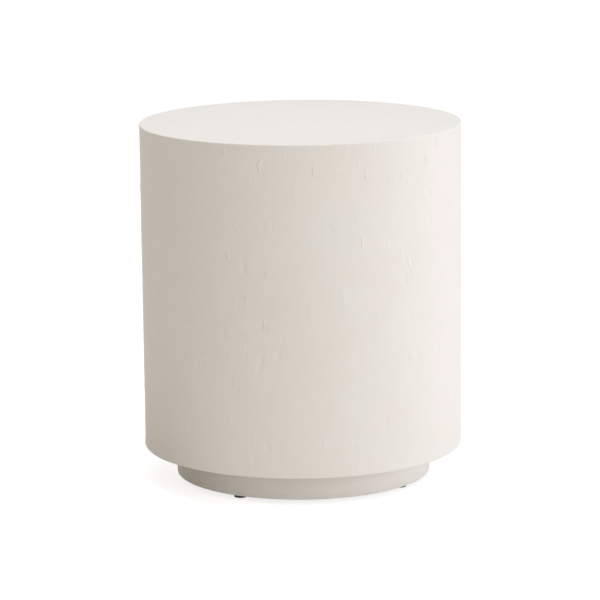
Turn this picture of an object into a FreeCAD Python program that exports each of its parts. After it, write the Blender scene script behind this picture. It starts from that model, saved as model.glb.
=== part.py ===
"""A plastered drum side table: a round wooden carcass skinned with bent plywood, standing on a recessed
plinth with four levelling feet. Millimetres, +Z up, with the origin on the floor under the drum's axis."""
import FreeCAD, Part
import os
import Sketcher

doc = FreeCAD.newDocument("drum_side_table")

# Driving dimensions, with what each one measures.
DRIVING_SIZES = [
    ("drum_diameter", 457, "outside of the plaster"),
    ("drum_height", 464, "underside of the base panel to the table top"),
    ("coat_thickness", 3, "plaster on the top, the side and the plinth"),
    ("edge_radius", 1.2, "eased plaster edges of the drum"),
    ("plinth_edge_radius", 1, "eased lower plaster edge of the plinth"),
    ("edge_land", 0.3, "least flat plaster left beside an eased edge"),
    ("plinth_diameter", 365, "outside of the plaster"),
    ("plinth_height", 42, "all three boards together"),
    ("glue_line", 0.15, "film between curved faces that are bonded"),
    ("top_panel_thickness", 18, "board under the table top"),
    ("base_panel_thickness", 18, "board that closes the drum below"),
    ("skin_thickness", 5, "each of the two plywood layers"),
    ("seam_gap", 1, "open butt joint of a plywood layer"),
    ("former_thickness", 18, "each ring former"),
    ("former_web", 24, "ring left behind the posts"),
    ("post_side", 36, "square post"),
    ("notch_clearance", 0.3, "middle former round a post"),
    ("plinth_board_thickness", 15, "upper and lower plinth boards"),
    ("panel_screw_count", 8, "screws round each panel"),
    ("panel_screw_inset", 14, "screw circle from the hole of the formers"),
    ("panel_screw_bite", 12, "screw length in the second board"),
    ("post_screw_bite", 42, "screw length in the end of a post"),
    ("middle_screw_bite", 22, "screw length in the side of a post"),
    ("screw_diameter", 4, "wood screw shank"),
    ("screw_head_diameter", 8, "countersunk head"),
    ("screw_head_height", 2.4, "countersunk head"),
    ("screw_point", 4, "tapered end"),
    ("screw_clearance", 0.15, "hole round a wood screw"),
    ("bolt_circle_diameter", 240, "plinth bolts round the axis"),
    ("bolt_diameter", 6, "plinth bolt"),
    ("bolt_head_diameter", 10.5, "button head"),
    ("bolt_head_height", 3.3, "button head"),
    ("bolt_socket_width", 4, "hexagon socket across its flats"),
    ("bolt_socket_depth", 2, "hexagon socket"),
    ("bolt_hole_clearance", 0.4, "plinth boards and washer round a bolt"),
    ("bolt_recess_depth", 7, "counterbore under the plinth"),
    ("bolt_recess_clearance", 0.5, "counterbore round a washer"),
    ("bolt_end_gap", 1, "bolt tip short of the end of its insert"),
    ("washer_diameter", 18, "plinth bolt washer"),
    ("washer_thickness", 1.6, "plinth bolt washer"),
    ("base_insert_diameter", 10, "threaded insert in the base panel"),
    ("base_insert_length", 13, "threaded insert in the base panel"),
    ("thread_clearance", 0.1, "insert round a bolt or a stud"),
    ("first_foot_angle", 45, "rear right foot, in degrees from +X"),
    ("foot_inset", 19.5, "foot axis from the face of the plinth"),
    ("foot_insert_diameter", 11, "threaded insert for a foot"),
    ("foot_insert_length", 13, "threaded insert for a foot, with its flange"),
    ("foot_flange_diameter", 17, "flange of that insert"),
    ("foot_flange_thickness", 1.5, "flange of that insert"),
    ("stud_diameter", 8, "foot stud"),
    ("stud_end_gap", 1.3, "stud tip below the upper plinth board"),
    ("stud_chamfer", 1, "stud tip"),
    ("collar_width", 13, "hexagon collar across its flats"),
    ("collar_height", 2.4, "hexagon collar"),
    ("neck_diameter", 6.5, "stud where it enters the pad"),
    ("stud_head_diameter", 11, "round head held in the pad"),
    ("stud_head_height", 1.1, "round head held in the pad"),
    ("pad_diameter", 18, "foot pad"),
    ("pad_thickness", 3.5, "foot pad"),
    ("pad_sole", 0.9, "pad under the stud head"),
    ("pad_chamfer", 0.5, "lower edge of the pad"),
    ("swivel_clearance", 0.1, "pad round the stud head and neck"),
    ("foot_gap", 0.3, "collar to the pad, and collar to the insert"),
]

# Places that follow from the sizes: radii from the outside in, then heights from the floor up.
DERIVED_PLACES = [
    ("drum_radius", "Size.drum_diameter / 2"),
    ("coat_inner_radius", "drum_radius - Size.coat_thickness"),
    ("carcass_radius", "coat_inner_radius - Size.glue_line"),
    ("outer_skin_inner_radius", "carcass_radius - Size.skin_thickness"),
    ("inner_skin_radius", "outer_skin_inner_radius - Size.glue_line"),
    ("inner_skin_inner_radius", "inner_skin_radius - Size.skin_thickness"),
    ("former_radius", "inner_skin_inner_radius - Size.glue_line"),
    ("post_face", "sqrt(former_radius ^ 2 - (Size.post_side / 2) ^ 2)"),
    ("post_back", "post_face - Size.post_side"),
    ("post_middle", "post_face - Size.post_side / 2"),
    ("former_hole_radius", "post_back - Size.former_web"),
    ("panel_screw_radius", "former_hole_radius + Size.panel_screw_inset"),
    ("plinth_radius", "Size.plinth_diameter / 2"),
    ("plinth_coat_inner_radius", "plinth_radius - Size.coat_thickness"),
    ("plinth_board_radius", "plinth_coat_inner_radius - Size.glue_line"),
    ("bolt_radius", "Size.bolt_circle_diameter / 2"),
    ("foot_radius", "plinth_radius - Size.foot_inset"),
    ("collar_bottom", "Size.pad_thickness + Size.foot_gap"),
    ("collar_top", "collar_bottom + Size.collar_height"),
    ("plinth_bottom", "collar_top + Size.foot_gap"),
    ("lower_board_top", "plinth_bottom + Size.plinth_board_thickness"),
    ("drum_bottom", "plinth_bottom + Size.plinth_height"),
    ("upper_board_bottom", "drum_bottom - Size.plinth_board_thickness"),
    ("washer_top", "plinth_bottom + Size.bolt_recess_depth"),
    ("bolt_seat", "washer_top - Size.washer_thickness"),
    ("bolt_tip", "drum_bottom + Size.base_insert_length - Size.bolt_end_gap"),
    ("stud_tip", "upper_board_bottom - Size.stud_end_gap"),
    ("base_panel_top", "drum_bottom + Size.base_panel_thickness"),
    ("lower_former_top", "base_panel_top + Size.former_thickness"),
    ("drum_top", "drum_bottom + Size.drum_height"),
    ("top_panel_top", "drum_top - Size.coat_thickness"),
    ("top_panel_bottom", "top_panel_top - Size.top_panel_thickness"),
    ("upper_former_bottom", "top_panel_bottom - Size.former_thickness"),
    ("middle_former_middle", "(base_panel_top + top_panel_bottom) / 2"),
    ("middle_former_bottom", "middle_former_middle - Size.former_thickness / 2"),
]

POST_ANGLES = {"right_post": 0, "rear_post": 90, "left_post": 180, "front_post": 270}
QUARTER_TURNS_TO_FOOT = {"rear_right": 0, "rear_left": 1, "front_left": 2, "front_right": 3}
POST_COUNT = len(POST_ANGLES)
FOOT_COUNT = len(QUARTER_TURNS_TO_FOOT)
BOLT_COUNT = 4

size_sheet = doc.addObject("Spreadsheet::Sheet", "Size")
for row, (name, number, meaning) in enumerate(DRIVING_SIZES, start=1):
    size_sheet.set(f"A{row}", meaning)
    size_sheet.set(f"B{row}", str(number))
    size_sheet.setAlias(f"B{row}", name)
place_sheet = doc.addObject("Spreadsheet::Sheet", "Place")
for row, (name, formula) in enumerate(DERIVED_PLACES, start=1):
    place_sheet.set(f"B{row}", f"={formula}")
    place_sheet.setAlias(f"B{row}", name)
doc.recompute()

pieces = []


def value(expression):
    return float(size_sheet.evalExpression(expression))


def new_piece(name):
    body = doc.addObject("PartDesign::Body", name)
    body.Label = name
    pieces.append(body)
    return body


def origin_part(body, role):
    return next(part for part in body.Origin.OriginFeatures if part.Role == role)


def level_sketch(body, height):
    """A sketch that lies flat at this height."""
    sketch = body.newObject("Sketcher::SketchObject", "Outline")
    sketch.AttachmentSupport = [(origin_part(body, "XY_Plane"), "")]
    sketch.MapMode = "FlatFace"
    sketch.setExpression("AttachmentOffset.Base.z", height)
    return sketch


def upright_sketch(body, turn="0"):
    """A sketch that stands on the drum's axis, facing out at this angle from +X."""
    sketch = body.newObject("Sketcher::SketchObject", "Section")
    sketch.AttachmentSupport = [(origin_part(body, "XZ_Plane"), "")]
    sketch.MapMode = "FlatFace"
    upward = FreeCAD.Vector(0, 1, 0)
    sketch.AttachmentOffset = FreeCAD.Placement(FreeCAD.Vector(), FreeCAD.Rotation(upward, 1))
    sketch.setExpression("AttachmentOffset.Rotation.Angle", turn)
    return sketch


def dimension(sketch, kind, line, end, expression):
    """Dimensions one end of a line from the origin, or puts it on the axis where that distance is nothing."""
    if expression == "0":
        axis = -2 if kind == "DistanceX" else -1
        sketch.addConstraint(Sketcher.Constraint("PointOnObject", line, end, axis))
    else:
        index = sketch.addConstraint(Sketcher.Constraint(kind, -1, 1, line, end, value(expression)))
        sketch.setExpression(f"Constraints[{index}]", expression)


def draw_outline(sketch, corners):
    """A closed outline of straight lines through corners that are given as pairs of expressions."""
    spots = [FreeCAD.Vector(value(across), value(up), 0) for across, up in corners]
    for start, end in zip(spots, spots[1:] + spots[:1]):
        sketch.addGeometry(Part.LineSegment(start, end))
    for line, (across, up) in enumerate(corners):
        sketch.addConstraint(Sketcher.Constraint("Coincident", line, 2, (line + 1) % len(corners), 1))
        dimension(sketch, "DistanceX", line, 1, across)
        dimension(sketch, "DistanceY", line, 1, up)


def draw_axis(sketch, start, end):
    """A construction line to turn an outline about, between two pairs of expressions."""
    spots = [FreeCAD.Vector(value(across), value(up), 0) for across, up in (start, end)]
    line = sketch.addGeometry(Part.LineSegment(*spots), True)
    for point, (across, up) in enumerate((start, end), start=1):
        dimension(sketch, "DistanceX", line, point, across)
        dimension(sketch, "DistanceY", line, point, up)


def draw_circle(sketch, radius):
    circle = Part.Circle(FreeCAD.Vector(), FreeCAD.Vector(0, 0, 1), value(radius))
    line = sketch.addGeometry(circle)
    sketch.addConstraint(Sketcher.Constraint("Coincident", line, 3, -1, 1))
    index = sketch.addConstraint(Sketcher.Constraint("Radius", line, value(radius)))
    sketch.setExpression(f"Constraints[{index}]", radius)


def draw_slot(sketch, inner, outer, width):
    """A rectangle that reaches out along X from inner to outer, with the X axis down its middle."""
    near, far, half = value(inner), value(outer), value(width) / 2
    spots = [FreeCAD.Vector(*spot, 0) for spot in ((near, -half), (far, -half), (far, half), (near, half))]
    for start, end in zip(spots, spots[1:] + spots[:1]):
        sketch.addGeometry(Part.LineSegment(start, end))
    for line in range(4):
        sketch.addConstraint(Sketcher.Constraint("Coincident", line, 2, (line + 1) % 4, 1))
    for line, kind in ((0, "Horizontal"), (2, "Horizontal"), (3, "Vertical")):
        sketch.addConstraint(Sketcher.Constraint(kind, line))
    sketch.addConstraint(Sketcher.Constraint("Symmetric", 1, 1, 1, 2, -1))
    index = sketch.addConstraint(Sketcher.Constraint("DistanceY", 1, 1, 1, 2, 2 * half))
    sketch.setExpression(f"Constraints[{index}]", width)
    dimension(sketch, "DistanceX", 0, 1, inner)
    dimension(sketch, "DistanceX", 0, 2, outer)


def draw_hexagon(sketch, across, width):
    """A hexagon of this width across its flats, with a corner facing out along X."""
    half, corner = f"{width} / 2", f"{width} / sqrt(3)"
    draw_outline(sketch, [(f"{across} + {corner}", "0"), (f"{across} + {corner} / 2", half),
                          (f"{across} - {corner} / 2", half), (f"{across} - {corner}", "0"),
                          (f"{across} - {corner} / 2", f"-{half}"), (f"{across} + {corner} / 2", f"-{half}")])


def pad(body, sketch, thickness):
    feature = body.newObject("PartDesign::Pad", "Board")
    feature.Profile = sketch
    feature.setExpression("Length", thickness)
    doc.recompute()
    return feature


def pocket(body, sketch, depth):
    """Cuts upward from the sketch."""
    before = body.Shape.Volume
    feature = body.newObject("PartDesign::Pocket", "Cut")
    feature.Profile = sketch
    feature.Reversed = True
    feature.setExpression("Length", depth)
    doc.recompute()
    check_cut(body, before)
    return feature


def turn_about(body, kind, sketch, axis):
    feature = body.newObject(kind, "Turned")
    feature.Profile = sketch
    feature.ReferenceAxis = (sketch, [axis])
    feature.Angle = 360
    doc.recompute()
    return feature


def repeat_round(body, features, count):
    """Repeats features evenly about the drum's axis."""
    pattern = body.newObject("PartDesign::PolarPattern", "Round")
    pattern.Originals = features
    pattern.Axis = (origin_part(body, "Z_Axis"), [""])
    pattern.Angle = 360
    pattern.setExpression("Occurrences", str(count))
    body.Tip = pattern
    doc.recompute()


def check_cut(body, volume_before):
    if body.Shape.Volume >= volume_before:
        raise RuntimeError(f"a cut in {body.Label} removed nothing")


def ease_edge(body, feature, radius, height, size):
    """Rounds the circular edge of this radius at this height."""
    for number, edge in enumerate(feature.Shape.Edges, start=1):
        ring = isinstance(edge.Curve, Part.Circle) and abs(edge.Curve.Radius - value(radius)) < 1e-6
        if ring and abs(edge.CenterOfMass.z - value(height)) < 1e-6:
            fillet = body.newObject("PartDesign::Fillet", "Eased")
            fillet.Base = (feature, [f"Edge{number}"])
            fillet.setExpression("Radius", size)
            doc.recompute()
            return
    raise RuntimeError(f"no edge to ease on {body.Label}")


def round_board(name, radius, bottom, thickness, hole_radius=None):
    """A disc or a ring cut from board or wrapped from sheet."""
    body = new_piece(name)
    sketch = level_sketch(body, bottom)
    draw_circle(sketch, radius)
    if hole_radius:
        draw_circle(sketch, hole_radius)
    return body, pad(body, sketch, thickness)


def upright_axis(across, section):
    """The two ends of an axis that stands beside an outline."""
    return (across, section[0][1]), (across, section[-1][1])


def turned_group(name, section, axis, turn, count):
    """Like round pieces, each turned about its own axis, spaced evenly about the drum's axis."""
    body = new_piece(name)
    sketch = upright_sketch(body, turn)
    draw_outline(sketch, section)
    draw_axis(sketch, *axis)
    repeat_round(body, [turn_about(body, "PartDesign::Revolution", sketch, "Axis0")], count)


def bore(body, section, axis, turn="0"):
    """Cuts one round hole with this half section."""
    before = body.Shape.Volume
    sketch = upright_sketch(body, turn)
    draw_outline(sketch, section)
    draw_axis(sketch, *axis)
    feature = turn_about(body, "PartDesign::Groove", sketch, "Axis0")
    check_cut(body, before)
    return feature


def bore_round(body, section, across, turn, count):
    """Cuts like upright holes, spaced evenly about the drum's axis."""
    repeat_round(body, [bore(body, section, upright_axis(across, section), turn)], count)


def straight_hole(axis_across, radius, bottom, top):
    """Half section of a plain upright hole."""
    wall = f"{axis_across} + {radius}"
    return [(axis_across, bottom), (wall, bottom), (wall, top), (axis_across, top)]


def turn_piece(body, angle):
    """Sets a whole piece round the drum's axis."""
    body.Placement = FreeCAD.Placement(FreeCAD.Vector(), FreeCAD.Rotation(FreeCAD.Vector(0, 0, 1), 1))
    body.setExpression("Placement.Rotation.Angle", angle)


class WoodScrew:
    """A countersunk wood screw from the middle of its head's face, pointing up, down or outward."""

    def __init__(self, across, height, length, way):
        self.across, self.height, self.length, self.way = across, height, length, way

    def place(self, along, aside):
        if self.way == "out":
            return f"{self.across} + {along}", f"{self.height} + {aside}"
        sign = "+" if self.way == "up" else "-"
        return f"{self.across} + {aside}", f"{self.height} {sign} ({along})"

    def axis(self):
        return self.place("0", "0"), self.place(self.length, "0")

    def body_section(self):
        shank = "Size.screw_diameter / 2"
        return [self.place("0", "0"), self.place("0", "Size.screw_head_diameter / 2"),
                self.place("Size.screw_head_height", shank),
                self.place(f"{self.length} - Size.screw_point", shank), self.place(self.length, "0")]

    def hole_section(self):
        room = "Size.screw_clearance"
        shank = f"Size.screw_diameter / 2 + {room}"
        return [self.place(f"-{room}", "0"), self.place(f"-{room}", f"Size.screw_head_diameter / 2 + {room}"),
                self.place("Size.screw_head_height", shank), self.place(f"{self.length} + {room}", shank),
                self.place(f"{self.length} + {room}", "0")]

    def make_group(self, name, turn, count):
        turned_group(name, self.body_section(), self.axis(), turn, count)

    def bore_one(self, body, turn="0"):
        return bore(body, self.hole_section(), self.axis(), turn)

    def bore_round(self, body, turn, count):
        repeat_round(body, [self.bore_one(body, turn)], count)


# Screws that join the carcass.
half_screw_step = "180 / Size.panel_screw_count"
panel_screw_length = "(Size.former_thickness + Size.panel_screw_bite)"
base_screw_length = "(Size.base_panel_thickness + Size.panel_screw_bite)"
post_screw_length = "(Size.former_thickness + Size.post_screw_bite)"
middle_screw_length = "(Size.former_web + Size.middle_screw_bite)"
top_panel_screw = WoodScrew("Place.panel_screw_radius", "Place.upper_former_bottom", panel_screw_length, "up")
base_panel_screw = WoodScrew("Place.panel_screw_radius", "Place.drum_bottom", base_screw_length, "up")
lower_post_screw = WoodScrew("Place.post_middle", "Place.base_panel_top", post_screw_length, "up")
upper_post_screw = WoodScrew("Place.post_middle", "Place.top_panel_bottom", post_screw_length, "down")
middle_screw = WoodScrew("Place.former_hole_radius", "Place.middle_former_middle", middle_screw_length, "out")

# Three boards stacked as the plinth, with recessed bolt holes on the main axes and foot holes between them.
foot_turn = "Size.first_foot_angle"
bolt_hole_radius = "Size.bolt_diameter / 2 + Size.bolt_hole_clearance"
bolt_recess_radius = "Size.washer_diameter / 2 + Size.bolt_recess_clearance"
insert_hole_radius = "Size.foot_insert_diameter / 2 + Size.glue_line"
flange_recess_radius = "Size.foot_flange_diameter / 2 + Size.glue_line"
bolt_hole = straight_hole("Place.bolt_radius", bolt_hole_radius, "Place.plinth_bottom", "Place.drum_bottom")
bolt_recess = straight_hole("Place.bolt_radius", bolt_recess_radius, "Place.plinth_bottom",
                            "Place.washer_top")
foot_hole = straight_hole("Place.foot_radius", insert_hole_radius, "Place.plinth_bottom",
                          "Place.upper_board_bottom")
flange_recess = straight_hole("Place.foot_radius", flange_recess_radius, "Place.plinth_bottom",
                              "Place.plinth_bottom + Size.foot_flange_thickness")

lower_board, _ = round_board("plinth_lower_board", "Place.plinth_board_radius", "Place.plinth_bottom",
                             "Size.plinth_board_thickness")
for hole in (bolt_hole, bolt_recess):
    bore_round(lower_board, hole, "Place.bolt_radius", "0", BOLT_COUNT)
for hole in (foot_hole, flange_recess):
    bore_round(lower_board, hole, "Place.foot_radius", foot_turn, FOOT_COUNT)

core_board, _ = round_board("plinth_core_board", "Place.plinth_board_radius", "Place.lower_board_top",
                            "Size.plinth_height - 2 * Size.plinth_board_thickness")
bore_round(core_board, bolt_hole, "Place.bolt_radius", "0", BOLT_COUNT)
bore_round(core_board, foot_hole, "Place.foot_radius", foot_turn, FOOT_COUNT)

upper_board, _ = round_board("plinth_upper_board", "Place.plinth_board_radius", "Place.upper_board_bottom",
                             "Size.plinth_board_thickness")
bore_round(upper_board, bolt_hole, "Place.bolt_radius", "0", BOLT_COUNT)

# Plaster round the plinth, eased at its lower edge.
plinth_coat, plinth_ring = round_board("plinth_coat", "Place.plinth_radius", "Place.plinth_bottom",
                                       "Size.plinth_height", "Place.plinth_coat_inner_radius")
ease_edge(plinth_coat, plinth_ring, "Place.plinth_radius", "Place.plinth_bottom",
          "min(Size.plinth_edge_radius; Size.coat_thickness - Size.edge_land)")

# Base panel, with blind holes for the threaded inserts and countersunk holes for its screws.
base_panel, _ = round_board("base_panel", "Place.carcass_radius", "Place.drum_bottom",
                            "Size.base_panel_thickness")
base_insert_hole = straight_hole("Place.bolt_radius", "Size.base_insert_diameter / 2 + Size.glue_line",
                                 "Place.drum_bottom", "Place.drum_bottom + Size.base_insert_length")
bore_round(base_panel, base_insert_hole, "Place.bolt_radius", "0", BOLT_COUNT)
base_panel_screw.bore_round(base_panel, half_screw_step, "Size.panel_screw_count")

# Ring formers. The middle one is notched round the posts.
lower_former, _ = round_board("lower_former", "Place.former_radius", "Place.base_panel_top",
                              "Size.former_thickness", "Place.former_hole_radius")
base_panel_screw.bore_round(lower_former, half_screw_step, "Size.panel_screw_count")
lower_post_screw.bore_round(lower_former, "0", POST_COUNT)

middle_former, _ = round_board("middle_former", "Place.former_radius", "Place.middle_former_bottom",
                               "Size.former_thickness", "Place.former_hole_radius")
notch = level_sketch(middle_former, "Place.middle_former_bottom")
draw_slot(notch, "Place.post_back - Size.notch_clearance", "Place.drum_radius",
          "Size.post_side + 2 * Size.notch_clearance")
repeat_round(middle_former, [pocket(middle_former, notch, "Size.former_thickness")], POST_COUNT)
middle_screw.bore_round(middle_former, "0", POST_COUNT)

upper_former, _ = round_board("upper_former", "Place.former_radius", "Place.upper_former_bottom",
                              "Size.former_thickness", "Place.former_hole_radius")
top_panel_screw.bore_round(upper_former, half_screw_step, "Size.panel_screw_count")
upper_post_screw.bore_round(upper_former, "0", POST_COUNT)

# Square posts between the lower and upper formers, drilled for the screws.
for post_name, post_angle in POST_ANGLES.items():
    post = new_piece(post_name)
    section = level_sketch(post, "Place.lower_former_top")
    draw_slot(section, "Place.post_back", "Place.post_face", "Size.post_side")
    pad(post, section, "Place.upper_former_bottom - Place.lower_former_top")
    for screw in (lower_post_screw, upper_post_screw, middle_screw):
        screw.bore_one(post)
    turn_piece(post, str(post_angle))

# Two plywood layers wrapped round the formers, each with a butt seam on a post: front inside, rear outside.
for skin_name, skin_radius, skin_inner_radius, seam_angle in (
        ("inner_skin", "Place.inner_skin_radius", "Place.inner_skin_inner_radius", POST_ANGLES["front_post"]),
        ("outer_skin", "Place.carcass_radius", "Place.outer_skin_inner_radius", POST_ANGLES["rear_post"])):
    skin_height = "Place.top_panel_bottom - Place.base_panel_top"
    skin, _ = round_board(skin_name, skin_radius, "Place.base_panel_top", skin_height, skin_inner_radius)
    seam = level_sketch(skin, "Place.base_panel_top")
    draw_slot(seam, "Place.former_radius", "Place.drum_radius", "Size.seam_gap")
    pocket(skin, seam, skin_height)
    turn_piece(skin, str(seam_angle))

# Top panel, screwed on from below through the upper former.
top_panel, _ = round_board("top_panel", "Place.carcass_radius", "Place.top_panel_bottom",
                           "Size.top_panel_thickness")
top_panel_screw.bore_round(top_panel, half_screw_step, "Size.panel_screw_count")

# Plaster on the side first, then on the top and over the side's upper end, with eased outer edges.
drum_edge_radius = "min(Size.edge_radius; Size.coat_thickness - Size.edge_land)"
side_coat, side_ring = round_board("side_coat", "Place.drum_radius", "Place.drum_bottom",
                                   "Place.top_panel_top - Place.drum_bottom", "Place.coat_inner_radius")
ease_edge(side_coat, side_ring, "Place.drum_radius", "Place.drum_bottom", drum_edge_radius)
top_coat, top_disc = round_board("top_coat", "Place.drum_radius", "Place.top_panel_top",
                                 "Size.coat_thickness")
ease_edge(top_coat, top_disc, "Place.drum_radius", "Place.drum_top", drum_edge_radius)

# Wood screws, in groups.
top_panel_screw.make_group("top_panel_screws", half_screw_step, "Size.panel_screw_count")
base_panel_screw.make_group("base_panel_screws", half_screw_step, "Size.panel_screw_count")
lower_post_screw.make_group("lower_post_screws", "0", POST_COUNT)
upper_post_screw.make_group("upper_post_screws", "0", POST_COUNT)
middle_screw.make_group("middle_former_screws", "0", POST_COUNT)

# Bolts from under the plinth into threaded inserts in the base panel, each with a washer.
bolt_axis = "Place.bolt_radius"
bolt_bore_radius = "Size.bolt_diameter / 2 + Size.thread_clearance"
bolt_shank = f"{bolt_axis} + Size.bolt_diameter / 2"
bolt_head = f"{bolt_axis} + Size.bolt_head_diameter / 2"
bolt_head_bottom = "Place.bolt_seat - Size.bolt_head_height"
bolts = new_piece("plinth_bolts")
bolt_sketch = upright_sketch(bolts)
draw_outline(bolt_sketch, [(bolt_axis, bolt_head_bottom), (bolt_shank, bolt_head_bottom),
                           (bolt_head, f"{bolt_head_bottom} + Size.bolt_socket_depth"),
                           (bolt_head, "Place.bolt_seat"), (bolt_shank, "Place.bolt_seat"),
                           (bolt_shank, "Place.bolt_tip"), (bolt_axis, "Place.bolt_tip")])
draw_axis(bolt_sketch, (bolt_axis, bolt_head_bottom), (bolt_axis, "Place.bolt_tip"))
one_bolt = turn_about(bolts, "PartDesign::Revolution", bolt_sketch, "Axis0")
socket_sketch = level_sketch(bolts, bolt_head_bottom)
draw_hexagon(socket_sketch, bolt_axis, "Size.bolt_socket_width")
socket = pocket(bolts, socket_sketch, "Size.bolt_socket_depth")
repeat_round(bolts, [one_bolt, socket], BOLT_COUNT)


def tube_section(axis_across, inner_radius, outer_radius, bottom, top):
    """Half section of a plain round tube."""
    inner, outer = f"{axis_across} + {inner_radius}", f"{axis_across} + {outer_radius}"
    return [(inner, bottom), (outer, bottom), (outer, top), (inner, top)]


washer_section = tube_section(bolt_axis, bolt_hole_radius, "Size.washer_diameter / 2",
                              "Place.bolt_seat", "Place.washer_top")
turned_group("plinth_washers", washer_section, upright_axis(bolt_axis, washer_section), "0", BOLT_COUNT)
base_insert_section = tube_section(bolt_axis, bolt_bore_radius, "Size.base_insert_diameter / 2",
                                   "Place.drum_bottom", "Place.drum_bottom + Size.base_insert_length")
turned_group("base_insert_nuts", base_insert_section, upright_axis(bolt_axis, base_insert_section),
             "0", BOLT_COUNT)

# Flanged threaded inserts for the feet, flush with the underside of the plinth.
foot_bore = "Place.foot_radius + Size.stud_diameter / 2 + Size.thread_clearance"
foot_barrel = "Place.foot_radius + Size.foot_insert_diameter / 2"
foot_flange = "Place.foot_radius + Size.foot_flange_diameter / 2"
flange_top = "Place.plinth_bottom + Size.foot_flange_thickness"
insert_top = "Place.plinth_bottom + Size.foot_insert_length"
foot_insert_section = [(foot_bore, "Place.plinth_bottom"), (foot_flange, "Place.plinth_bottom"),
                       (foot_flange, flange_top), (foot_barrel, flange_top),
                       (foot_barrel, insert_top), (foot_bore, insert_top)]
turned_group("foot_insert_nuts", foot_insert_section, upright_axis("Place.foot_radius", foot_insert_section),
             foot_turn, FOOT_COUNT)


def stand_under_plinth(body, quarter_turns):
    """Sets a foot's piece, made about its own axis, at its corner of the plinth."""
    angle = f"({foot_turn} + {90 * quarter_turns}) * 1 deg"
    body.setExpression("Placement.Base.x", f"Place.foot_radius * cos({angle})")
    body.setExpression("Placement.Base.y", f"Place.foot_radius * sin({angle})")


def turned_piece(name, section):
    body = new_piece(name)
    sketch = upright_sketch(body)
    draw_outline(sketch, section)
    turn_about(body, "PartDesign::Revolution", sketch, "V_Axis")
    return body


# Levelling feet: a stud with a thin hexagon collar, whose round head swivels in a pad.
head_bottom = "Size.pad_sole + Size.swivel_clearance"
head_top = f"{head_bottom} + Size.stud_head_height"
stud_radius = "Size.stud_diameter / 2"
neck_radius = "Size.neck_diameter / 2"
head_radius = "Size.stud_head_diameter / 2"
stud_section = [("0", head_bottom), (head_radius, head_bottom), (head_radius, head_top),
                (neck_radius, head_top), (neck_radius, "Place.collar_bottom"),
                (stud_radius, "Place.collar_bottom"),
                (stud_radius, "Place.stud_tip - Size.stud_chamfer"),
                (f"{stud_radius} - Size.stud_chamfer", "Place.stud_tip"), ("0", "Place.stud_tip")]
pad_radius = "Size.pad_diameter / 2"
cup_radius = f"{head_radius} + Size.swivel_clearance"
cup_top = f"{head_top} + Size.swivel_clearance"
throat_radius = f"{neck_radius} + Size.swivel_clearance"
pad_section = [("0", "0"), (f"{pad_radius} - Size.pad_chamfer", "0"), (pad_radius, "Size.pad_chamfer"),
               (pad_radius, "Size.pad_thickness"), (throat_radius, "Size.pad_thickness"),
               (throat_radius, cup_top), (cup_radius, cup_top), (cup_radius, "Size.pad_sole"),
               ("0", "Size.pad_sole")]
for corner, quarter_turns in QUARTER_TURNS_TO_FOOT.items():
    stud = turned_piece(f"{corner}_foot_stud", stud_section)
    collar = level_sketch(stud, "Place.collar_bottom")
    draw_hexagon(collar, "0", "Size.collar_width")
    pad(stud, collar, "Size.collar_height")
    stand_under_plinth(stud, quarter_turns)
    foot_pad = turned_piece(f"{corner}_foot_pad", pad_section)
    stand_under_plinth(foot_pad, quarter_turns)

doc.recompute()
for item in doc.Objects:
    if "Invalid" in item.State or "Error" in item.State:
        raise RuntimeError(f"{item.Label} failed: {item.State}")
for piece in pieces:
    if piece.Shape.isNull() or not piece.Shape.isValid() or not piece.Shape.Solids:
        raise RuntimeError(f"{piece.Label} has no valid solid")

os.makedirs("parts", exist_ok=True)
for piece in pieces:
    piece.Shape.exportStep(f"parts/{piece.Label}.step")
    print(f"{piece.Label}: {len(piece.Shape.Solids)} solid(s), {piece.Shape.Volume / 1000:.2f} cm3")
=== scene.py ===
import math

import bpy
import numpy as np
from mathutils import Matrix, Vector, noise


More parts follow.
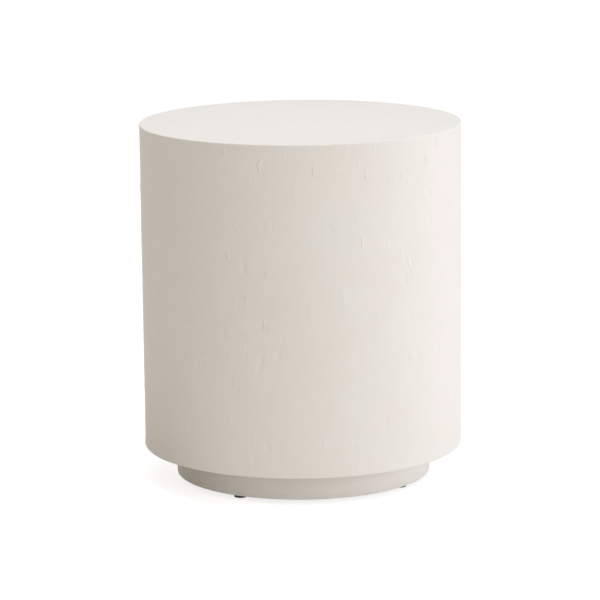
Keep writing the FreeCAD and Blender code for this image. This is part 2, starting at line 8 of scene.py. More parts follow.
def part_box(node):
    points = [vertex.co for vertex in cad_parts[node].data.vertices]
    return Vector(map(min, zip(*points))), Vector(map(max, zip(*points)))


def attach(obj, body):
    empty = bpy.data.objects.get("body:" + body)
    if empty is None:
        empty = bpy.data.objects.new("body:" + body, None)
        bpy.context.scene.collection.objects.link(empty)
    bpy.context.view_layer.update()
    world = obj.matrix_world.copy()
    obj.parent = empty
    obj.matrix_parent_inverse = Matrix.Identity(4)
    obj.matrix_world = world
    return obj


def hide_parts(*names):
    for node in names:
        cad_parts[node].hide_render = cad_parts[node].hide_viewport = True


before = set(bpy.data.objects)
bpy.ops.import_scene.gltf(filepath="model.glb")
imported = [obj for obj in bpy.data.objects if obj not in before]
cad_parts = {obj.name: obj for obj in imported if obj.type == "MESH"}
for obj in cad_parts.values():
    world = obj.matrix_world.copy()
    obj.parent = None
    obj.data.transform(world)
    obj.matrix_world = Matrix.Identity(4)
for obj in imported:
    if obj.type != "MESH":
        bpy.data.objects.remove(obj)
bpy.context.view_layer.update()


# Panels and ring formers: discs and rings routed from fibreboard, glued and screwed together as the drum's
# carcass. The pressed faces are smooth and pale, and the routed edges are darker and a little furry.
class Wire:
    """One output in a material: arithmetic on it adds Math nodes, and node() adds any other kind."""

    def __init__(self, socket):
        self.socket = socket

    def node(self, kind, settings, sockets, output=0):
        """A new node: its settings are set first, then its sockets are set or linked."""
        made = self.socket.id_data.nodes.new("ShaderNode" + kind)
        for name, setting in settings.items():
            setattr(made, name, setting)
        for name, value in sockets.items():
            feed(made.inputs[name], value)
        return Wire(made.outputs[output])

    def math(self, operation, first, second=0.0):
        return self.node("Math", {"operation": operation}, {0: first, 1: second})

    def __add__(self, other):
        return self.math("ADD", self, other)

    def __radd__(self, other):
        return self.math("ADD", other, self)

    def __sub__(self, other):
        return self.math("SUBTRACT", self, other)

    def __rsub__(self, other):
        return self.math("SUBTRACT", other, self)

    def __mul__(self, other):
        return self.math("MULTIPLY", self, other)

    def __rmul__(self, other):
        return self.math("MULTIPLY", other, self)

    def __abs__(self):
        return self.math("ABSOLUTE", self)


def feed(socket, value):
    """Links a wire to a socket, or sets a plain value on it."""
    if isinstance(value, Wire):
        socket.id_data.links.new(value.socket, socket)
    elif socket.type == "RGBA":
        socket.default_value = (*value, 1)
    else:
        socket.default_value = value


def new_finish(name, even_values):
    """A material, its surface shader with the values that are even all over, and the place on the table."""
    material = bpy.data.materials.new(name)
    material.use_nodes = True
    shader = material.node_tree.nodes["Principled BSDF"]
    for socket, value in even_values.items():
        feed(shader.inputs[socket], value)
    place = Wire(material.node_tree.nodes.new("ShaderNodeTexCoord").outputs["Object"])
    return material, shader, place


def cloud(place, size_mm, detail=2.0):
    """Soft noise from 0 to 1, in spots about this many millimetres wide."""
    return place.node("TexNoise", {}, {"Vector": place, "Scale": 1000 / size_mm, "Detail": detail})


def rise(value, low, high):
    """0 below low and 1 above high, with a smooth slope between."""
    return value.node("MapRange", {"interpolation_type": "SMOOTHSTEP"}, {0: value, 1: low, 2: high})


def tint(amount, low, high):
    """A colour between two others."""
    return amount.node("Mix", {"data_type": "RGBA"}, {0: amount, 6: low, 7: high}, 2)


def stretched(place, along_x, along_y, along_z):
    """The place with each axis drawn in or out, for streaks."""
    scale = (along_x, along_y, along_z)
    return place.node("VectorMath", {"operation": "MULTIPLY"}, {0: place, 1: scale})


def part_of(vector, axis):
    """One of the three numbers of a vector."""
    return vector.node("SeparateXYZ", {}, {0: vector}, axis)


def facing(place):
    """The way that a surface faces."""
    return place.node("NewGeometry", {}, {}, "Normal")


def lay_finish(shader, colour, roughness, height, relief_mm):
    """Feeds a colour, a roughness and a bump of this many millimetres to a surface shader."""
    bump = height.node("Bump", {}, {"Height": height, "Distance": relief_mm / 1000, "Strength": 1.0})
    feed(shader.inputs["Base Color"], colour)
    feed(shader.inputs["Roughness"], roughness)
    feed(shader.inputs["Normal"], bump)


def dress(material, *names):
    """Gives CAD nodes their finish."""
    for name in names:
        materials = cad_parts[name].data.materials
        materials.clear()
        materials.append(material)


FIBRE_PALE, FIBRE_MID, FIBRE_EDGE = (0.56, 0.42, 0.28), (0.47, 0.335, 0.21), (0.36, 0.24, 0.145)
bare_board, board_shader, place = new_finish("bare_fibreboard", {"Specular IOR Level": 0.3})
routed_edge = 1 - abs(part_of(facing(place), "Z"))
fibres = cloud(place, 1.4, 5.0)
flecks = rise(cloud(place, 0.7), 0.6, 0.72)
board_colour = tint(rise(fibres * 0.7 + cloud(place, 60) * 0.3, 0.3, 0.7), FIBRE_MID, FIBRE_PALE)
board_colour = tint(flecks * 0.45 + routed_edge * 0.6, board_colour, FIBRE_EDGE)
lay_finish(board_shader, board_colour, 0.62 + routed_edge * 0.2 + fibres * 0.14,
           fibres * (0.3 + routed_edge) + flecks * 0.2, 0.05)
dress(bare_board, "lower_former", "middle_former", "upper_former", "top_panel")


# Posts: four lengths of planed softwood, 36 mm square, screwed between the formers. Growth rings show as
# lines along the faces and as arcs on the sawn ends, with a darker band where each year's growth ended.
PINE_PALE, PINE_DARK = (0.78, 0.60, 0.38), (0.58, 0.37, 0.18)
RING_WIDTH_MM = 3.6
pine, pine_shader, place = new_finish("planed_softwood", {"Specular IOR Level": 0.35})
along_grain = stretched(place, 1, 1, 0.06)
level_place = stretched(place, 1, 1, 0)
from_pith = place.node("VectorMath", {"operation": "LENGTH"}, {0: level_place}, "Value")
ring = from_pith * (1000 / RING_WIDTH_MM) + cloud(along_grain, 24) * 5.0
ring = ring.math("FRACT", ring)
late_wood = rise(ring, 0.45, 0.92) - rise(ring, 0.92, 1.0)
streaks = cloud(along_grain, 0.8, 4.0)
pine_colour = tint(late_wood * 0.75 + streaks * 0.3, PINE_PALE, PINE_DARK)
lay_finish(pine_shader, pine_colour, 0.6 - late_wood * 0.12 + streaks * 0.12,
           late_wood * 0.5 + streaks, 0.04)
dress(pine, "front_post", "right_post", "rear_post", "left_post")


# Skins: two layers of bending plywood wrapped round the formers and glued, with butt seams on opposite
# posts. The open-grained face veneer runs upright, so that the sheet bends across its grain.
VENEER_PALE, VENEER_DARK = (0.70, 0.54, 0.37), (0.52, 0.36, 0.21)
plywood, plywood_shader, place = new_finish("bending_plywood", {"Specular IOR Level": 0.3})
along_veneer = stretched(place, 1, 1, 0.035)
figure = cloud(along_veneer, 14, 3.0)
pores = rise(cloud(stretched(place, 1, 1, 0.09), 0.7), 0.58, 0.7)
veneer_colour = tint(rise(figure, 0.35, 0.65) * 0.6 + pores * 0.5, VENEER_PALE, VENEER_DARK)
lay_finish(plywood_shader, veneer_colour, 0.66 + figure * 0.12 + pores * 0.1, figure * 0.4 - pores, 0.06)
dress(plywood, "inner_skin", "outer_skin")


# Wood screws: countersunk steel screws, bright zinc plated, driven through the formers into the panels and
# posts. The plating varies a little in tone, and driving leaves fine scratches on it.
ZINC_COOL, ZINC_WARM, ZINC_DULL = (0.66, 0.67, 0.68), (0.68, 0.66, 0.60), (0.42, 0.42, 0.41)
zinc, zinc_shader, place = new_finish("bright_zinc", {"Metallic": 1.0})
bloom = rise(cloud(place, 5, 3.0), 0.35, 0.7)
dull_spots = rise(cloud(place, 1.1, 3.0), 0.6, 0.74)
scratches = rise(cloud(stretched(place, 1, 0.12, 1), 0.35, 1.0), 0.56, 0.7)
zinc_colour = tint(dull_spots * 0.6, tint(bloom, ZINC_COOL, ZINC_WARM), ZINC_DULL)
lay_finish(zinc_shader, zinc_colour, 0.27 + bloom * 0.1 + dull_spots * 0.18 + scratches * 0.08,
           scratches * -0.6 + dull_spots * 0.4, 0.012)
dress(zinc, "top_panel_screws", "base_panel_screws", "upper_post_screws", "lower_post_screws",
      "middle_former_screws")


# Base panel and plinth boards: fibreboard discs. The undersides that show are rolled with matt paint in the
# plaster's colour, which is thin at the rims of the drilled holes; the two inner plinth boards stay bare.
PAINT_PALE, PAINT_THIN, PAINT_SCUFF = (0.80, 0.765, 0.72), (0.62, 0.53, 0.43), (0.56, 0.53, 0.49)
BOLT_CIRCLE, RECESS_RADIUS = 0.120, 0.0095
paint, paint_shader, place = new_finish("rolled_paint", {"Specular IOR Level": 0.35})
stipple = cloud(place, 2.2, 2.0)
nap = cloud(place, 0.6, 2.0)
scuffs = rise(cloud(stretched(place, 1, 0.25, 1), 22, 5.0), 0.62, 0.74)
across, deep = part_of(place, "X"), part_of(place, "Y")
far = across.math("MAXIMUM", abs(across), abs(deep)) - BOLT_CIRCLE
near = across.math("MINIMUM", abs(across), abs(deep))
from_hole = far.math("SQRT", far * far + near * near)
worn_rim = 1 - rise(from_hole + cloud(place, 3) * 0.002, RECESS_RADIUS + 0.0006, RECESS_RADIUS + 0.003)
paint_colour = tint(scuffs * 0.3, tint(worn_rim * 0.6, PAINT_PALE, PAINT_THIN), PAINT_SCUFF)
paint_colour = tint(rise(cloud(place, 70), 0.3, 0.7) * 0.12, paint_colour, PAINT_SCUFF)
lay_finish(paint_shader, paint_colour, 0.6 + scuffs * 0.12 + stipple * 0.08, stipple + nap * 0.3, 0.09)
dress(paint, "base_panel", "plinth_lower_board")
dress(bare_board, "plinth_core_board", "plinth_upper_board")


# Plinth bolts, washers and inserts: four button head bolts with hexagon sockets, set in counterbores under
# the plinth and screwed into steel inserts in the base panel. All of it is zinc plated.
BOLT_HEAD_RADIUS, BOLT_HEAD_HEIGHT, BOLT_SHANK_RADIUS = 5.25, 3.3, 3.0
SOCKET_HALF_WIDTH, SOCKET_DEPTH = 2.0, 2.0
BOLT_CROWN_RADIUS, BOLT_COUNT, BOLT_SPOKES = 3.0, 4, 48


def hexagon(angles, half_width):
    """The distance from the middle of a hexagon to its side, all round, with a corner facing along X."""
    return half_width / np.cos((angles % (math.pi / 3)) - math.pi / 6)


def turned_points(profile, spokes):
    """Rings of points from pairs of radius and height in millimetres; a radius may differ all round."""
    angles = np.arange(spokes) * 2 * math.pi / spokes
    rings = []
    for radius, height in profile:
        radius = np.broadcast_to(radius, spokes)
        height = np.broadcast_to(height, spokes)
        rings.append(np.stack([radius * np.cos(angles), radius * np.sin(angles), height], axis=1))
    return np.array(rings) / 1000


def skin_between(rings):
    """Faces between rings of points that are numbered one after another."""
    rings = np.asarray(rings)
    ahead = np.roll(rings, -1, axis=1)
    return np.stack([rings[:-1], ahead[:-1], ahead[1:], rings[1:]], axis=-1).reshape(-1, 4).tolist()


def new_piece(name, points, faces, material, sharp_deg=35):
    """An object with smooth faces, and hard edges where they meet at more than this angle."""
    mesh = bpy.data.meshes.new(name)
    mesh.from_pydata(np.asarray(points).reshape(-1, 3).tolist(), [], faces)
    mesh.polygons.foreach_set("use_smooth", [True] * len(mesh.polygons))
    mesh.set_sharp_from_angle(angle=math.radians(sharp_deg))
    mesh.materials.append(material)
    piece = bpy.data.objects.new(name, mesh)
    bpy.context.scene.collection.objects.link(piece)
    return piece


def turned_solid(profile, spokes):
    """Points and faces of a solid turned about its axis, with a point on the axis at each end."""
    rings = turned_points(profile, spokes)
    count = len(rings) * spokes
    numbers = np.arange(count).reshape(len(rings), spokes)
    faces = skin_between(numbers)
    for spot, ring, turn in ((count, numbers[0], 1), (count + 1, numbers[-1], -1)):
        faces += [[spot, a, b] for a, b in zip(np.roll(ring, -turn).tolist(), ring.tolist())]
    ends = [[0, 0, rings[0, 0, 2]], [0, 0, rings[-1, 0, 2]]]
    return np.concatenate([rings.reshape(-1, 3), ends]), faces


bolt_low, bolt_high = (corner.z * 1000 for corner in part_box("plinth_bolts"))
seat = bolt_low + BOLT_HEAD_HEIGHT
bolt_angles = np.arange(BOLT_SPOKES) * 2 * math.pi / BOLT_SPOKES
socket = hexagon(bolt_angles, SOCKET_HALF_WIDTH)
bolt_profile = [(socket * 0.5, bolt_low + SOCKET_DEPTH), (socket, bolt_low + SOCKET_DEPTH),
                (socket, bolt_low + 0.25), (socket * 1.08, bolt_low)]
for lift in np.radians([0, 15, 30, 45, 60, 75, 88]):
    dome = BOLT_CROWN_RADIUS + (BOLT_HEAD_RADIUS - BOLT_CROWN_RADIUS) * math.sin(lift)
    bolt_profile.append((dome, bolt_low + (BOLT_HEAD_HEIGHT - 0.4) * (1 - math.cos(lift))))
bolt_profile += [(BOLT_HEAD_RADIUS, seat - 0.3), (BOLT_HEAD_RADIUS - 0.2, seat), (BOLT_SHANK_RADIUS, seat),
                 (BOLT_SHANK_RADIUS, bolt_high - 0.8), (BOLT_SHANK_RADIUS - 0.8, bolt_high)]
one_bolt, one_bolt_faces = turned_solid(bolt_profile, BOLT_SPOKES)
bolt_points, bolt_faces = [], []
for turn in range(BOLT_COUNT):
    bolt_angle = turn * 2 * math.pi / BOLT_COUNT
    middle = (BOLT_CIRCLE * math.cos(bolt_angle), BOLT_CIRCLE * math.sin(bolt_angle), 0)
    bolt_faces += [[corner + turn * len(one_bolt) for corner in face] for face in one_bolt_faces]
    bolt_points.append(one_bolt + np.array(middle))
button_bolts = new_piece("plinth_button_bolts", np.concatenate(bolt_points), bolt_faces, zinc)
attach(button_bolts, "table")
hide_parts("plinth_bolts")
dress(zinc, "plinth_washers", "base_insert_nuts")


# Plaster: a mineral coat 3 mm thick, laid on by trowel in overlapping passes, dragged, sanded lightly and
# sealed matt. The trowel leaves trails of small ridges, rubbed pale, with a painted highlight on them, and a
# few gouges, mostly higher up; the gouges and pinholes are painted grey as shade. The coat wraps the plinth
# boards first, down to an eased lower edge that picks up scuffs from the floor.
PLASTER_WARM, PLASTER_PALE = (0.83, 0.79, 0.737), (0.848, 0.815, 0.765)
PLASTER_RUBBED_HIGHLIGHT, PLASTER_GREY_AND_SHADE = (0.885, 0.862, 0.825), (0.71, 0.68, 0.635)
TRAIL_SIZE_MM, TRAIL_PATTERN = 70, 4.6
SCUFF_LOW, SCUFF_HIGH = 0.006, 0.022
SEGMENTS = 600
plaster, plaster_shader, place = new_finish("trowelled_plaster", {"Specular IOR Level": 0.4})
passes = cloud(place, 95, 4.0)
mottle = cloud(place, 16, 5.0)
sand = cloud(place, 0.9, 4.0)
drag = cloud(stretched(place, 1, 1, 0.05), 2.6, 3.0)


def spots(place, spacing_mm, inner_mm, outer_mm):
    """Scattered spots, 1 inside the inner radius and 0 outside the outer one, and a lot drawn for each."""
    sockets = {"Vector": place, "Scale": 1000 / spacing_mm}
    distance = place.node("TexVoronoi", {}, sockets, "Distance")
    lot = part_of(place.node("TexVoronoi", {}, sockets, "Color"), "X")
    return 1 - rise(distance, inner_mm / spacing_mm, outer_mm / spacing_mm), lot


def swayed(place, size_mm, reach_mm):
    """The place pushed about by soft noise, for marks that lean and wander."""
    push = place.node("TexNoise", {}, {"Vector": place, "Scale": 1000 / size_mm}, "Color")
    reach = (reach_mm / 1000,) * 3
    return place.node("VectorMath", {"operation": "MULTIPLY_ADD"}, {0: push, 1: reach, 2: place})


pinholes, _ = spots(place, 13, 0.4, 1.0)
wandering = swayed(swayed(place, 60, 28), 9, 9)
on_top = rise(part_of(facing(place), "Z"), 0.5, 0.8)
stroke_place = place.node("Mix", {"data_type": "VECTOR"}, {
    0: on_top, 4: stretched(wandering, 1, 1, 0.22), 5: stretched(wandering, 0.22, 1, 1)}, 1)
height_on_table = part_of(place, "Z")
patches = place.node("TexNoise", {"noise_dimensions": "4D"}, {
    "Vector": stretched(place, 1, 1, 0.7), "Scale": 1000 / TRAIL_SIZE_MM, "W": TRAIL_PATTERN})
trails = rise(patches + rise(height_on_table, 0.18, 0.42) * 0.1, 0.46, 0.6)
flicks, lot = spots(stroke_place, 11, 0.4, 2.8)
flicks = flicks * trails * (1 - on_top * 0.4)
ridges = flicks * rise(lot, 0.25, 0.8)
gouges = flicks * (1 - rise(lot, 0.05, 0.3))
floor_scuff = rise(cloud(stretched(place, 1, 1, 2.5), 9, 4.0), 0.45, 0.7)
floor_scuff = floor_scuff * (1 - rise(height_on_table, SCUFF_LOW, SCUFF_HIGH))
plaster_colour = tint(rise(passes * 0.6 + mottle * 0.4, 0.3, 0.7), PLASTER_WARM, PLASTER_PALE)
# Raised ridges: rubbed paler, and painted paler still as a highlight where they catch the light.
plaster_colour = tint(ridges * 0.7, plaster_colour, PLASTER_RUBBED_HIGHLIGHT)
# Grey: sand grains and floor scuffs in the plaster's own colour, and painted shade in the pinholes and
# gouges.
grey_and_shade_share = rise(sand, 0.3, 0.75) * 0.1 + pinholes * 0.5 + gouges * 0.2 + floor_scuff * 0.35
plaster_colour = tint(grey_and_shade_share, plaster_colour, PLASTER_GREY_AND_SHADE)
lay_finish(plaster_shader, plaster_colour, 0.5 + passes * 0.16 + sand * 0.1 - flicks * 0.1,
           sand * 0.03 + drag * 0.05 + mottle * 0.1 - pinholes * 0.15 + ridges - gouges * 0.6, 0.8)


def hand_laid(point, wave_mm):
    """How the coat swells and dips from one trowel pass to the next, about -1 to 1."""
    spot = Vector(point) * (1000 / wave_mm)
    return noise.noise(spot) + 0.5 * noise.noise(spot * 2.3 + Vector((7, 3, 5)))


def lapped(point, wave_mm):
    """The low step that is left at the edge of a trowel pass, from 0 to 1."""
    return 1 / (1 + math.exp(-14 * noise.noise(Vector(point) * (1000 / wave_mm) + Vector((31, 17, 9)))))


plinth_low, plinth_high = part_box("plinth_coat")
plinth_radius, plinth_bottom, plinth_top = plinth_high.x * 1000, plinth_low.z * 1000, plinth_high.z * 1000
COAT_THICKNESS, PLINTH_EASE, PLINTH_RELIEF = 3.0, 1.0, 0.35
plinth_profile = [(plinth_radius - COAT_THICKNESS, plinth_bottom)]
for lift in np.radians([0, 22.5, 45, 67.5, 90]):
    plinth_profile.append((plinth_radius - PLINTH_EASE * (1 - math.sin(lift)),
                           plinth_bottom + PLINTH_EASE * (1 - math.cos(lift))))
plinth_profile += [(plinth_radius, height) for height in np.linspace(plinth_bottom + 3.5, plinth_top, 14)]
plinth_profile.append((plinth_radius - COAT_THICKNESS, plinth_top))
plinth_rings = turned_points(plinth_profile, SEGMENTS)
for ring_points in plinth_rings[2:-1]:
    for point in ring_points:
        swell = 0.5 + 0.35 * hand_laid(point, 55) + 0.3 * (lapped(point, 80) - 0.5)
        point[:2] *= 1 - min(max(swell, 0), 1) * PLINTH_RELIEF / plinth_radius
plinth_numbers = np.arange(len(plinth_rings) * SEGMENTS).reshape(-1, SEGMENTS)
plinth_plaster = new_piece("plinth_plaster", plinth_rings,
                           skin_between(np.concatenate([plinth_numbers, plinth_numbers[:1]])), plaster)
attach(plinth_plaster, "table")
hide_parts("plinth_coat")


# Drum plaster: the same coat over the plywood and the top panel in one piece, with no seam at the rim. Short
# dragged strokes of the trowel are left in it, mostly upright on the side, and both rims are eased by hand.
drum_low, drum_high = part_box("side_coat")
drum_radius, drum_bottom = drum_high.x * 1000, drum_low.z * 1000
drum_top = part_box("top_coat")[1].z * 1000
DRUM_EASE, DRUM_RELIEF, TRUE_RIM = 1.2, 0.9, 9.0
TOP_CELLS, SIDE_RINGS = SEGMENTS // 8, 112
SIDE_STROKES, TOP_STROKES, RAISED_SHARE = 140, 24, 0.55
chance = np.random.default_rng(23)


def draw_strokes(count, across, along, upright):
    """Random trowel strokes in millimetres: middle, heading, length, bend, width and height of each."""
    headings = chance.normal(math.pi / 2, 0.45, count) if upright else chance.uniform(0, math.pi, count)
    raised = chance.uniform(0, 1, count) < RAISED_SHARE
    heights = np.where(raised, chance.uniform(0.3, 0.7, count), chance.uniform(-1.2, -0.4, count))
    return np.stack([chance.uniform(*across, count), chance.uniform(*along, count), headings,
                     chance.uniform(14, 46, count), chance.normal(0, 4, count),
                     chance.uniform(2.4, 3.8, count), heights], axis=1)


def stroke_relief(across, along, strokes, full_turn):
    """The height of all strokes at these places, in millimetres."""
    relief = np.zeros_like(across)
    for middle_across, middle_along, heading, length, bend, width, height in strokes:
        right = (across - middle_across + full_turn / 2) % full_turn - full_turn / 2
        up = along - middle_along
        along_stroke = (right * math.cos(heading) + up * math.sin(heading)) / (length / 2)
        off_stroke = (up * math.cos(heading) - right * math.sin(heading) - bend * along_stroke ** 2) / width
        fade = np.clip(1 - along_stroke ** 2, 0, 1) ** 2
        relief += height * np.exp(-off_stroke ** 2) * fade
    return relief


def concentric(cells):
    """A square net bent into a disc of radius 1: its points, its faces and the order of its rim."""
    steps = np.arange(-cells, cells + 1)
    across, deep = np.meshgrid(steps, steps, indexing="ij")
    reach = np.maximum(np.abs(across), np.abs(deep))
    safe = np.maximum(reach, 1)
    sideways = np.where(np.abs(across) >= np.abs(deep), 1, 0)
    turn = np.where(sideways == 1, deep * np.sign(across) / safe, 2 - across * np.sign(deep) / safe)
    turn = turn + np.where(np.where(sideways == 1, across, deep) < 0, 4, 0)
    angle = turn * math.pi / 4
    points = np.stack([reach * np.cos(angle), reach * np.sin(angle)], axis=-1) / cells
    numbers = np.arange(points.shape[0] * points.shape[1]).reshape(points.shape[:2])
    faces = np.stack([numbers[:-1, :-1], numbers[1:, :-1], numbers[1:, 1:], numbers[:-1, 1:]], axis=-1)
    on_rim = reach == cells
    rim = numbers[on_rim][np.argsort(turn[on_rim] % 8)]
    return points.reshape(-1, 2), faces.reshape(-1, 4).tolist(), rim


net, top_faces, rim = concentric(TOP_CELLS)
flat_radius = drum_radius - DRUM_EASE
top_points = np.column_stack([net * flat_radius, np.full(len(net), drum_top)]) / 1000
edge_lifts = np.radians([15, 30, 45, 60, 75, 90])
outside = [(flat_radius + DRUM_EASE * math.sin(lift), drum_top - DRUM_EASE * (1 - math.cos(lift)))
           for lift in edge_lifts]
side_heights = np.linspace(drum_top - DRUM_EASE, drum_bottom + DRUM_EASE, SIDE_RINGS)
outside += [(drum_radius, height) for height in side_heights[1:]]
outside += [(flat_radius + DRUM_EASE * math.cos(lift), drum_bottom + DRUM_EASE * (1 - math.sin(lift)))
            for lift in edge_lifts]
side_points = turned_points(outside, SEGMENTS)
coat_inside = drum_radius - COAT_THICKNESS
hidden_points = turned_points([(coat_inside, drum_bottom),
                               (coat_inside, drum_top - COAT_THICKNESS)], SEGMENTS)

angles = np.arange(SEGMENTS) * 2 * math.pi / SEGMENTS
outward = np.stack([np.cos(angles), np.sin(angles), np.zeros(SEGMENTS)], axis=1)
side_strokes = draw_strokes(SIDE_STROKES, (0, 2 * math.pi * drum_radius), (drum_bottom, drum_top), True)
top_strokes = draw_strokes(TOP_STROKES, (-drum_radius, drum_radius), (-drum_radius, drum_radius), False)


def sunk(points, strokes_mm, from_rim_mm):
    """How far the plaster lies below the fullest coat at these places, in metres; a rim is laid true."""
    swell = [0.45 + 0.32 * hand_laid(point, 105) + 0.3 * (lapped(point, 150) - 0.5) for point in points]
    inward = np.clip(from_rim_mm / TRUE_RIM, 0, 1)
    fade = inward * inward * (3 - 2 * inward)
    return np.maximum(DRUM_RELIEF * np.array(swell) - strokes_mm, 0) * fade / 1000


top_across, top_deep = top_points[:, 0] * 1000, top_points[:, 1] * 1000
top_points[:, 2] -= sunk(top_points, stroke_relief(top_across, top_deep, top_strokes, 2 * drum_radius),
                         flat_radius - np.hypot(top_across, top_deep))
for ring_points, (_, height) in zip(side_points, outside):
    ring_strokes = stroke_relief(angles * drum_radius, np.full(SEGMENTS, height), side_strokes,
                                 2 * math.pi * drum_radius)
    from_rim = max(min(drum_top - height, height - drum_bottom) - DRUM_EASE, 0)
    ring_points -= outward * sunk(ring_points, ring_strokes, from_rim)[:, None]
drum_points = np.concatenate([top_points, side_points.reshape(-1, 3), hidden_points.reshape(-1, 3),
                              [[0, 0, (drum_top - COAT_THICKNESS) / 1000]]])
ring_numbers = len(top_points) + np.arange((len(outside) + 2) * SEGMENTS).reshape(-1, SEGMENTS)
drum_faces = top_faces + skin_between(np.concatenate([rim[None, :], ring_numbers])[::-1])
last_ring, centre = ring_numbers[-1].tolist(), len(drum_points) - 1
drum_faces += [[centre, a, b] for a, b in zip(np.roll(last_ring, -1).tolist(), last_ring)]
drum_plaster = new_piece("drum_plaster", drum_points, drum_faces, plaster)
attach(drum_plaster, "table")
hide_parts("side_coat", "top_coat")


# Levelling feet: a zinc plated M8 stud, rolled with a right-hand thread, with a thin hexagon collar to turn
# it by. Its round head swivels in a moulded black nylon pad, and a flanged steel insert in the plinth takes
# the thread.
THREAD_PITCH, THREAD_DEPTH, STUD_RADIUS = 1.25, 0.72, 4.0
COLLAR_HALF_WIDTH, COLLAR_LOW, COLLAR_HIGH = 6.5, 3.8, 6.2
NECK_RADIUS, HEAD_RADIUS, HEAD_LOW, HEAD_HIGH = 3.25, 5.5, 1.0, 2.1
STUD_SPOKES, PAD_SPOKES, TURN_STEPS = 36, 64, 8
PAD_RADIUS, PAD_HEIGHT, PAD_SOLE, PAD_ROUND = 9.0, 3.5, 0.9, 0.5
NYLON_BLACK, NYLON_GREY, NYLON_DUST = (0.028, 0.028, 0.029), (0.055, 0.054, 0.053), (0.20, 0.19, 0.175)
dress(zinc, "foot_insert_nuts")

stud_angles = np.arange(STUD_SPOKES) * 2 * math.pi / STUD_SPOKES
stud_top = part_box("front_left_foot_stud")[1].z * 1000


def thread_radius(height):
    """The stud's radius all round at this height: a crest that climbs one pitch in each right-hand turn."""
    phase = (height / THREAD_PITCH - stud_angles / (2 * math.pi)) % 1
    groove = np.clip(np.abs(phase - 0.5) * 8 / 3 - 1 / 3, 0, 1)
    run_out = np.clip((height - COLLAR_HIGH - 0.4) / 1.2, 0, 1)
    bevel = np.clip(height - stud_top + 1.0, 0, 1)
    return STUD_RADIUS - np.maximum(THREAD_DEPTH * (1 - groove) * run_out, bevel)


collar = hexagon(stud_angles, COLLAR_HALF_WIDTH)
collar_face = np.minimum(collar, COLLAR_HALF_WIDTH * 1.02)
stud_profile = [(HEAD_RADIUS * 0.5, HEAD_LOW), (HEAD_RADIUS - 0.15, HEAD_LOW),
                (HEAD_RADIUS, HEAD_LOW + 0.15), (HEAD_RADIUS, HEAD_HIGH - 0.15),
                (HEAD_RADIUS - 0.15, HEAD_HIGH), (NECK_RADIUS, HEAD_HIGH),
                (NECK_RADIUS, COLLAR_LOW), (collar_face, COLLAR_LOW), (collar, COLLAR_LOW + 0.45),
                (collar, COLLAR_HIGH - 0.45), (collar_face, COLLAR_HIGH), (STUD_RADIUS, COLLAR_HIGH)]
thread_heights = np.arange(COLLAR_HIGH + 0.3, stud_top, THREAD_PITCH / TURN_STEPS)
stud_profile += [(thread_radius(height), height) for height in thread_heights]
stud_profile += [(STUD_RADIUS - 1.0, stud_top)]
stud_points, stud_faces = turned_solid(stud_profile, STUD_SPOKES)

nylon, nylon_shader, place = new_finish("moulded_nylon", {"Specular IOR Level": 0.45})
moulding = cloud(place, 0.5, 3.0)
dust = (1 - rise(part_of(place, "Z"), 0.0002, 0.0016)) * rise(cloud(place, 0.8, 4.0), 0.4, 0.7)
nylon_colour = tint(rise(cloud(place, 1.2, 3.0), 0.3, 0.7), NYLON_BLACK, NYLON_GREY)
nylon_colour = tint(dust * 0.45, nylon_colour, NYLON_DUST)
lay_finish(nylon_shader, nylon_colour, 0.42 + moulding * 0.16 + dust * 0.2, moulding, 0.02)

pad_profile = [(PAD_RADIUS * 0.5, 0.0)]
for lift in np.radians([0, 30, 60, 90]):
    pad_profile.append((PAD_RADIUS - PAD_ROUND * (1 - math.sin(lift)), PAD_ROUND * (1 - math.cos(lift))))
for lift in np.radians([0, 30, 60, 90]):
    pad_profile.append((PAD_RADIUS - 0.1 - PAD_ROUND * (1 - math.cos(lift)),
                        PAD_HEIGHT - PAD_ROUND * (1 - math.sin(lift))))
pad_profile += [(NECK_RADIUS + 0.1, PAD_HEIGHT), (NECK_RADIUS + 0.1, HEAD_HIGH + 0.1),
                (HEAD_RADIUS + 0.1, HEAD_HIGH + 0.1), (HEAD_RADIUS + 0.1, PAD_SOLE),
                (HEAD_RADIUS * 0.5, PAD_SOLE)]
pad_points, pad_faces = turned_solid(pad_profile, PAD_SPOKES)

for corner in ("front_left", "front_right", "rear_right", "rear_left"):
    low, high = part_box(f"{corner}_foot_pad")
    axis_place = Matrix.Translation(((low.x + high.x) / 2, (low.y + high.y) / 2, 0))
    stud = new_piece(f"{corner}_threaded_stud", stud_points, stud_faces, zinc)
    pad = new_piece(f"{corner}_nylon_pad", pad_points, pad_faces, nylon)
    for piece, kind, slot in ((stud, "stud", "zinc_steel"), (pad, "pad", "nylon")):
        piece.matrix_world = axis_place
        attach(piece, f"{corner}_{kind}")
        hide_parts(f"{corner}_foot_{kind}")


# Floor: a plain white studio sweep under the table, which keeps a soft shadow. Seen from below it lets the
# view through to the underside. A brown card, out of sight at the table's left, takes light off the plinth.
FLOOR_REACH = 14.0
floor_mesh = bpy.data.meshes.new("floor")
floor_corners = [(x * FLOOR_REACH, y * FLOOR_REACH, 0) for x, y in ((-1, -1), (1, -1), (1, 1), (-1, 1))]
floor_mesh.from_pydata(floor_corners, [], [(0, 1, 2, 3)])
floor = bpy.data.objects.new("floor", floor_mesh)
bpy.context.scene.collection.objects.link(floor)


def seen_directly(wire):
    """1 for what the camera sees, straight on or in a mirror or glass, and 0 for light on its way."""
    views = [wire.node("LightPath", {}, {}, name)
             for name in ("Is Camera Ray", "Is Glossy Ray", "Is Transmission Ray")]
    return views[0].math("MINIMUM", views[0] + views[1] + views[2], 1.0)


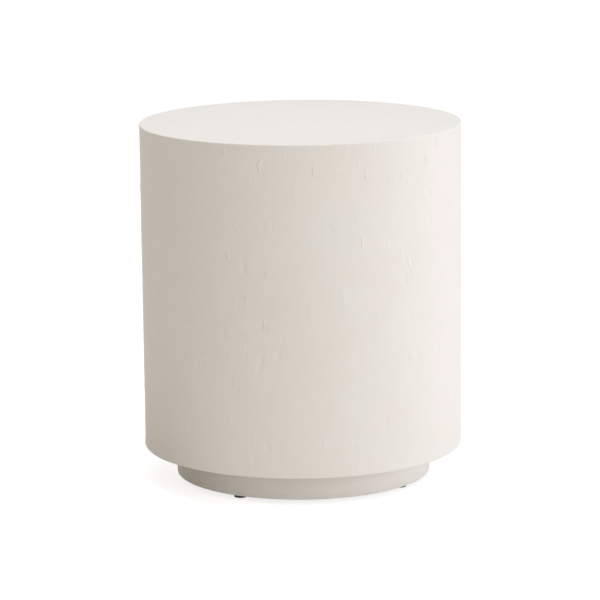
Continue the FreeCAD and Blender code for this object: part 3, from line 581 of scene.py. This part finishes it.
FLOOR_COLOUR, FLOOR_SEEN_COLOUR, FLOOR_SEEN_GLOW = (0.80, 0.79, 0.78), (0.50, 0.50, 0.50), 0.78
CARD_COLOUR, CARD_MIDDLE, CARD_INNER, CARD_OUTER = (0.36, 0.30, 0.24), (-0.29, -0.03, 0), 0.10, 0.19
floor_paint = bpy.data.materials.new("studio_floor")
floor_paint.use_nodes = True
floor_tree = floor_paint.node_tree
floor_tree.nodes.remove(floor_tree.nodes["Principled BSDF"])
place = Wire(floor_tree.nodes.new("ShaderNodeTexCoord").outputs["Object"])
from_card = place.node("VectorMath", {"operation": "DISTANCE"}, {0: place, 1: CARD_MIDDLE}, "Value")
lit_floor = place.node("MixShader", {}, {
    0: rise(from_card, CARD_INNER, CARD_OUTER), 1: place.node("BsdfDiffuse", {}, {"Color": CARD_COLOUR}),
    2: place.node("BsdfDiffuse", {}, {"Color": FLOOR_COLOUR})})
seen_floor = place.node("AddShader", {}, {
    0: place.node("BsdfDiffuse", {}, {"Color": FLOOR_SEEN_COLOUR}),
    1: place.node("Emission", {}, {"Color": (1, 1, 1), "Strength": FLOOR_SEEN_GLOW})})
shown_floor = place.node("MixShader", {}, {0: seen_directly(place), 1: lit_floor, 2: seen_floor})
open_below = place.node("MixShader", {}, {0: place.node("NewGeometry", {}, {}, "Backfacing"), 1: shown_floor,
                                          2: place.node("BsdfTransparent", {}, {})})
feed(floor_tree.nodes["Material Output"].inputs["Surface"], open_below)
floor_mesh.materials.append(floor_paint)


# Studio light: an even soft fill all round, a low wide key box at the table's right, a softer box between it
# and the camera, and a large soft light overhead.
CAMERA_AZIMUTH, LAMP_AIM_HEIGHT = math.radians(-11.9), 0.28
FILL_COLOUR, FILL_STRENGTH = (1.0, 0.945, 0.87), 0.55
studio = bpy.data.worlds.new("studio")
studio.use_nodes = True
bpy.context.scene.world = studio
room = Wire(studio.node_tree.nodes["Background"].outputs[0])
fill = room.node("Background", {}, {"Color": FILL_COLOUR, "Strength": FILL_STRENGTH})
white = room.node("Background", {}, {"Color": (1, 1, 1), "Strength": 1.0})
feed(studio.node_tree.nodes["World Output"].inputs["Surface"],
     room.node("MixShader", {}, {0: seen_directly(room), 1: fill, 2: white}))


def softbox(name, right_of_camera_deg, distance, height, wide, tall, power, colour):
    """An area lamp that faces the table from this angle to the right of the camera."""
    lamp = bpy.data.lights.new(name, "AREA")
    lamp.shape, lamp.size, lamp.size_y = "RECTANGLE", wide, tall
    lamp.energy, lamp.color = power, colour
    holder = bpy.data.objects.new(name, lamp)
    turn = CAMERA_AZIMUTH + math.radians(right_of_camera_deg)
    holder.location = (distance * math.sin(turn), -distance * math.cos(turn), height)
    aim = Vector((0, 0, LAMP_AIM_HEIGHT)) - holder.location
    holder.rotation_euler = aim.to_track_quat("-Z", "Y").to_euler()
    bpy.context.scene.collection.objects.link(holder)


softbox("key_softbox", 100, 2.2, 0.3, 1.4, 0.6, 9.8, (0.97, 1.0, 1.2))
softbox("front_softbox", 45, 2.2, 0.55, 1.8, 1.1, 11.4, (0.97, 1.0, 1.0))
softbox("overhead_softbox", 20, 0.3, 2.4, 1.6, 1.6, 19.5, (0.95, 1.0, 1.13))


# Camera: a long lens, a little above the table and looking slightly down, turned so that the two front feet
# show under the plinth.
CAMERA_DISTANCE, CAMERA_HEIGHT, LENS_MM = 4.3936, 1.1358, 187.396
CAMERA_YAW, CAMERA_PITCH, CAMERA_ROLL = -0.0006, 0.1981, -0.0101
heading = CAMERA_YAW - CAMERA_AZIMUTH
ahead = Vector((math.sin(heading) * math.cos(CAMERA_PITCH), math.cos(heading) * math.cos(CAMERA_PITCH),
                -math.sin(CAMERA_PITCH)))
level_right = Vector((math.cos(heading), -math.sin(heading), 0))
level_up = level_right.cross(ahead)
right = level_right * math.cos(CAMERA_ROLL) + level_up * math.sin(CAMERA_ROLL)
up = level_up * math.cos(CAMERA_ROLL) - level_right * math.sin(CAMERA_ROLL)
lens = bpy.data.cameras.new("camera")
lens.lens, lens.sensor_width = LENS_MM, 36.0
camera = bpy.data.objects.new("camera", lens)
stand = (CAMERA_DISTANCE * math.sin(CAMERA_AZIMUTH), -CAMERA_DISTANCE * math.cos(CAMERA_AZIMUTH),
         CAMERA_HEIGHT)
camera.matrix_world = Matrix.Translation(stand) @ Matrix((right, up, -ahead)).transposed().to_4x4()
bpy.context.scene.collection.objects.link(camera)
bpy.context.scene.camera = camera
bpy.context.scene.view_settings.view_transform = "Standard"
